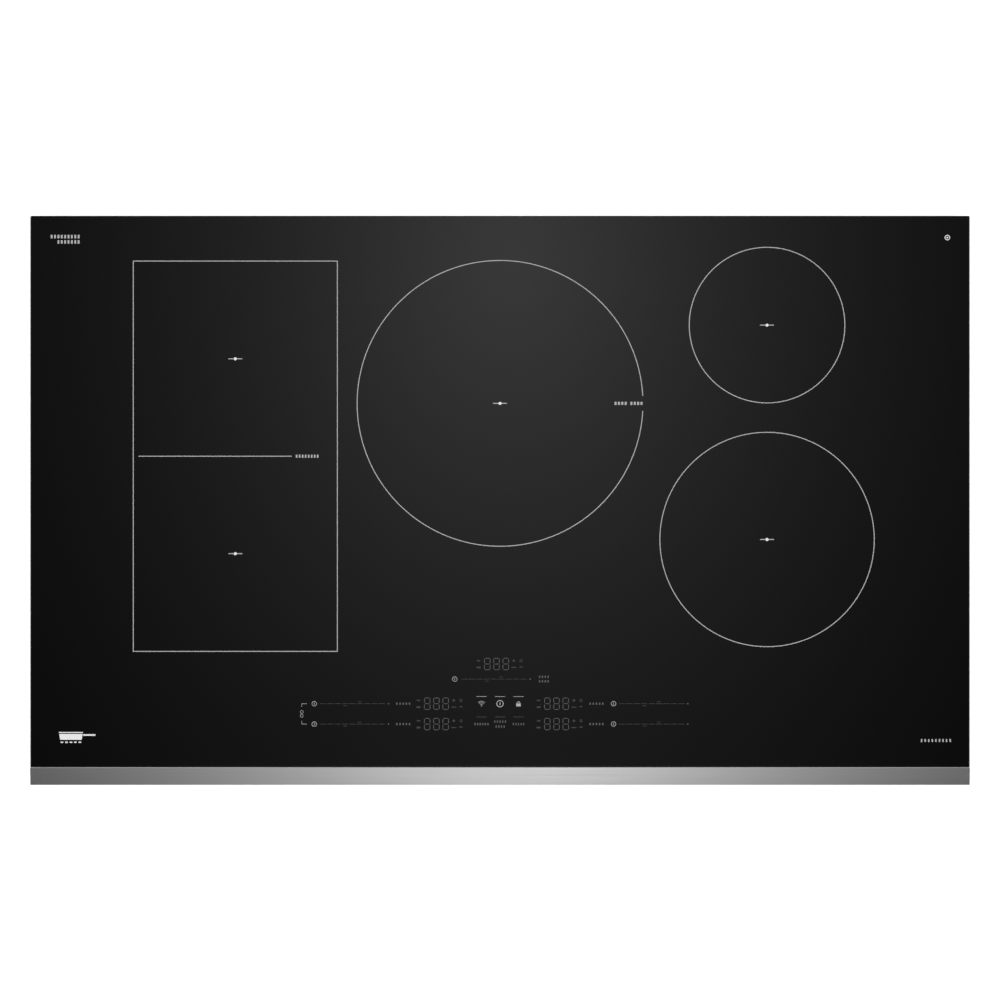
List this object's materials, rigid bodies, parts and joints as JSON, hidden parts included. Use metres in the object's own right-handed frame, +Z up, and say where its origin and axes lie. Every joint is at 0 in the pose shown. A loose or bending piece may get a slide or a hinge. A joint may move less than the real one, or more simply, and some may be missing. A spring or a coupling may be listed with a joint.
{
  "type": "electric induction cooktop",
  "caption": "Built-in induction cooktop: a black glass plate with a brushed steel front strip over a shallow steel box that holds sprung coil trays, fans and power boards.",
  "frame": {"origin": "centre of the outline of the glass and front strip, on the worktop plane that the foam gasket rests on", "axes": "+X to the right of a person at the controls, +Y to the back, +Z up"},
  "size_m": [0.921, 0.558, 0.0881],
  "materials": {
    "black_glass": "gloss black glass-ceramic with fine printed marks",
    "printed_ink": "light grey ceramic ink printed on the glass",
    "stainless": "stainless steel brushed along its length",
    "gasket_foam": "closed-cell foam",
    "silicone": "cured silicone bead",
    "zinc_steel": "hot-dip galvanised sheet with a faint spangle",
    "bright_zinc": "bright zinc plate",
    "aluminium_sheet": "mill-finish sheet",
    "litz_copper": "enamelled stranded copper wire wound in a flat spiral",
    "former_plastic": "glass-filled polyester moulding",
    "ferrite": "sintered ferrite, matt grey-black",
    "mica": "pressed mica sheet with silvery flakes",
    "sensor_rubber": "moulded silicone",
    "spring_steel": "drawn spring wire",
    "lead_sleeve": "braided glass-fibre sleeve",
    "circuit_board": "green solder mask with printed tracks",
    "heatsink": "extruded fins",
    "chip_black": "moulded epoxy with tinned legs",
    "capacitor_case": "potted film capacitor case",
    "choke_winding": "toroid wound with enamelled wire",
    "fan_plastic": "black moulding",
    "motor_core": "laminated core with copper coils",
    "carrier_plastic": "light grey flame-retardant moulding",
    "wire_insulation": "silicone-covered wire",
    "ribbon": "grey ribbon cable",
    "panel_plastic": "dark moulding",
    "display_black": "dark lens over light segments"
  },
  "bodies": {
    "base": {"glass_top": "black_glass", "front_trim": "stainless", "counter_gasket": "gasket_foam", "glass_bond": "silicone", "glass_frame": "zinc_steel", "base_pan": "zinc_steel", "inlet_plate": "zinc_steel", "clamp_bracket_left": "zinc_steel", "clamp_bracket_right": "zinc_steel", "panel_screws": "bright_zinc", "guide_pins": "bright_zinc", "coil_deck": "aluminium_sheet", "tray_springs_left": "spring_steel", "tray_springs_centre": "spring_steel", "tray_springs_right": "spring_steel", "touch_springs": "spring_steel", "coil_leads_left": "lead_sleeve", "coil_leads_centre": "lead_sleeve", "coil_leads_right": "lead_sleeve", "power_boards": "circuit_board", "filter_board": "circuit_board", "ui_board": "circuit_board", "heatsinks": "heatsink", "power_transistors": "chip_black", "capacitors": "capacitor_case", "chokes": "choke_winding", "fan_housings": "fan_plastic", "fan_stators": "motor_core", "board_carriers": "carrier_plastic", "terminal_block": "carrier_plastic", "mains_leads": "wire_insulation", "ui_ribbon": "ribbon", "ui_housing": "panel_plastic", "display_modules": "display_black"},
    "coil_tray_left": {"coil_tray_left": "aluminium_sheet", "coil_formers_left": "former_plastic", "ferrites_left": "ferrite", "mica_sheets_left": "mica", "heat_sensors_left": "sensor_rubber", "winding_left_rear": "litz_copper", "winding_left_front": "litz_copper"},
    "coil_tray_centre": {"coil_tray_centre": "aluminium_sheet", "coil_formers_centre": "former_plastic", "ferrites_centre": "ferrite", "mica_sheets_centre": "mica", "heat_sensors_centre": "sensor_rubber", "winding_centre_inner": "litz_copper", "winding_centre_outer": "litz_copper"},
    "coil_tray_right": {"coil_tray_right": "aluminium_sheet", "coil_formers_right": "former_plastic", "ferrites_right": "ferrite", "mica_sheets_right": "mica", "heat_sensors_right": "sensor_rubber", "winding_right_rear": "litz_copper", "winding_right_front": "litz_copper"},
    "fan_rotor_left": {"fan_rotor_left": "fan_plastic"},
    "fan_rotor_centre": {"fan_rotor_centre": "fan_plastic"},
    "fan_rotor_right": {"fan_rotor_right": "fan_plastic"},
    "clamp_screw_left": {"clamp_screw_left": "bright_zinc"},
    "clamp_screw_right": {"clamp_screw_right": "bright_zinc"}
  },
  "joints": [
    {"name": "coil_tray_left_spring", "type": "slide", "parent": "base", "child": "coil_tray_left", "axis": [0, 0, 1], "range_m": [-0.005, 0], "stiffness_N_per_m": 6000, "springref_m": 0.008, "deforming": ["tray_springs_left", "coil_leads_left"]},
    {"name": "coil_tray_centre_spring", "type": "slide", "parent": "base", "child": "coil_tray_centre", "axis": [0, 0, 1], "range_m": [-0.005, 0], "stiffness_N_per_m": 6000, "springref_m": 0.008, "deforming": ["tray_springs_centre", "coil_leads_centre"]},
    {"name": "coil_tray_right_spring", "type": "slide", "parent": "base", "child": "coil_tray_right", "axis": [0, 0, 1], "range_m": [-0.005, 0], "stiffness_N_per_m": 6000, "springref_m": 0.008, "deforming": ["tray_springs_right", "coil_leads_right"]},
    {"name": "fan_left_spin", "type": "hinge", "parent": "base", "child": "fan_rotor_left", "pos_m": [-0.34, 0.154, -0.054], "axis": [0, 0, 1], "continuous": true},
    {"name": "fan_centre_spin", "type": "hinge", "parent": "base", "child": "fan_rotor_centre", "pos_m": [-0.06, 0.154, -0.054], "axis": [0, 0, 1], "continuous": true},
    {"name": "fan_right_spin", "type": "hinge", "parent": "base", "child": "fan_rotor_right", "pos_m": [0.22, 0.154, -0.054], "axis": [0, 0, 1], "continuous": true},
    {"name": "clamp_left_travel", "type": "slide", "parent": "base", "child": "clamp_screw_left", "axis": [0, 0, 1], "range_m": [-0.015, 0.015]},
    {"name": "clamp_right_travel", "type": "slide", "parent": "base", "child": "clamp_screw_right", "axis": [0, 0, 1], "range_m": [-0.015, 0.015]}
  ]
}
